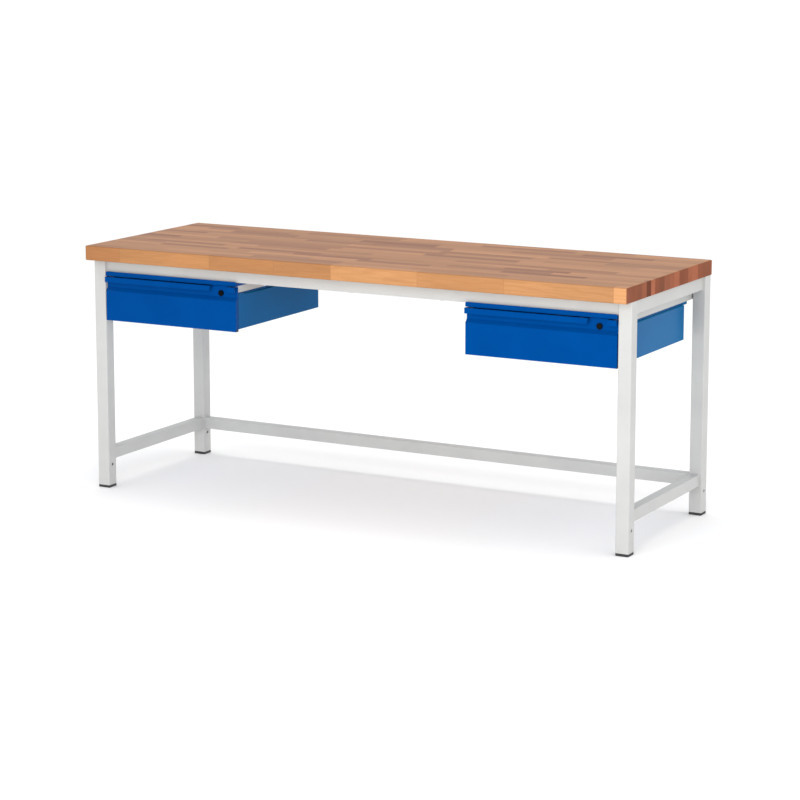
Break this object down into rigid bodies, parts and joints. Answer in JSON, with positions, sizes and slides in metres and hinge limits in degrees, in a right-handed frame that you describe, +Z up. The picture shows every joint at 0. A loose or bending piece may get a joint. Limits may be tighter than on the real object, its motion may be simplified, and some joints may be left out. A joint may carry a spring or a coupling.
{
  "type": "workbench",
  "caption": "Long industrial workbench with a solid wood top on a square-tube steel frame and a lockable drawer unit hung under each end.",
  "frame": {"origin": "on the floor under the middle of the worktop", "axes": "+X to the user's right along the bench, +Y away from the user, +Z up; the drawers open towards -Y"},
  "size_m": [2, 0.7, 0.85],
  "materials": {
    "oiled_beech": "planed and oiled beech, finger-jointed staves",
    "grey_paint": "light grey powder coat, fine texture",
    "blue_paint": "gentian blue powder coat, satin",
    "zinc_steel": "bright zinc plate",
    "black_plastic": "moulded, matt",
    "black_lock": "black, satin",
    "lock_steel": "black nickel plated"
  },
  "bodies": {
    "frame": {"worktop": "oiled_beech", "worktop_screws": "zinc_steel", "leg_front_left": "grey_paint", "foot_cap_front_left": "black_plastic", "leg_rear_left": "grey_paint", "foot_cap_rear_left": "black_plastic", "leg_front_right": "grey_paint", "foot_cap_front_right": "black_plastic", "leg_rear_right": "grey_paint", "foot_cap_rear_right": "black_plastic", "top_rail_front": "grey_paint", "top_rail_rear": "grey_paint", "top_rail_left": "grey_paint", "top_rail_right": "grey_paint", "stretcher_rear": "grey_paint", "stretcher_left": "grey_paint", "stretcher_right": "grey_paint", "left_top_cover": "blue_paint", "left_hanger_rail_left": "grey_paint", "left_hanger_rail_right": "grey_paint", "left_housing": "blue_paint", "left_hanger_screws": "zinc_steel", "left_housing_screws": "zinc_steel", "left_slide_outer_left": "zinc_steel", "left_slide_outer_right": "zinc_steel", "right_top_cover": "blue_paint", "right_hanger_rail_left": "grey_paint", "right_hanger_rail_right": "grey_paint", "right_housing": "blue_paint", "right_hanger_screws": "zinc_steel", "right_housing_screws": "zinc_steel", "right_slide_outer_left": "zinc_steel", "right_slide_outer_right": "zinc_steel"},
    "left_drawer": {"left_drawer_box": "blue_paint", "left_drawer_front": "blue_paint", "left_corner_pads": "black_plastic", "left_lock_body": "black_lock", "left_lock_nut": "zinc_steel", "left_slide_inner_left": "zinc_steel", "left_slide_inner_right": "zinc_steel"},
    "left_slide_middles": {"left_slide_middle_left": "zinc_steel", "left_slide_middle_right": "zinc_steel"},
    "left_lock": {"left_lock_plug": "lock_steel", "left_lock_cam": "zinc_steel"},
    "right_drawer": {"right_drawer_box": "blue_paint", "right_drawer_front": "blue_paint", "right_corner_pads": "black_plastic", "right_lock_body": "black_lock", "right_lock_nut": "zinc_steel", "right_slide_inner_left": "zinc_steel", "right_slide_inner_right": "zinc_steel"},
    "right_slide_middles": {"right_slide_middle_left": "zinc_steel", "right_slide_middle_right": "zinc_steel"},
    "right_lock": {"right_lock_plug": "lock_steel", "right_lock_cam": "zinc_steel"}
  },
  "joints": [
    {"name": "left_drawer_slide", "type": "slide", "parent": "frame", "child": "left_drawer", "axis": [0, -1, 0], "range_m": [0, 0.45]},
    {"name": "left_middle_slide", "type": "slide", "parent": "frame", "child": "left_slide_middles", "axis": [0, -1, 0], "range_m": [0, 0.225]},
    {"name": "left_lock_turn", "type": "hinge", "parent": "left_drawer", "child": "left_lock", "pos_m": [-0.4905, -0.2965, 0.7165], "axis": [0, 1, 0], "range_deg": [0, 90]},
    {"name": "right_drawer_slide", "type": "slide", "parent": "frame", "child": "right_drawer", "axis": [0, -1, 0], "range_m": [0, 0.45]},
    {"name": "right_middle_slide", "type": "slide", "parent": "frame", "child": "right_slide_middles", "axis": [0, -1, 0], "range_m": [0, 0.225]},
    {"name": "right_lock_turn", "type": "hinge", "parent": "right_drawer", "child": "right_lock", "pos_m": [0.8865, -0.2965, 0.7165], "axis": [0, 1, 0], "range_deg": [0, 90]}
  ],
  "couplings": [
    {"joint": "left_middle_slide", "follows": "left_drawer_slide", "ratio": 0.5},
    {"joint": "right_middle_slide", "follows": "right_drawer_slide", "ratio": 0.5}
  ]
}
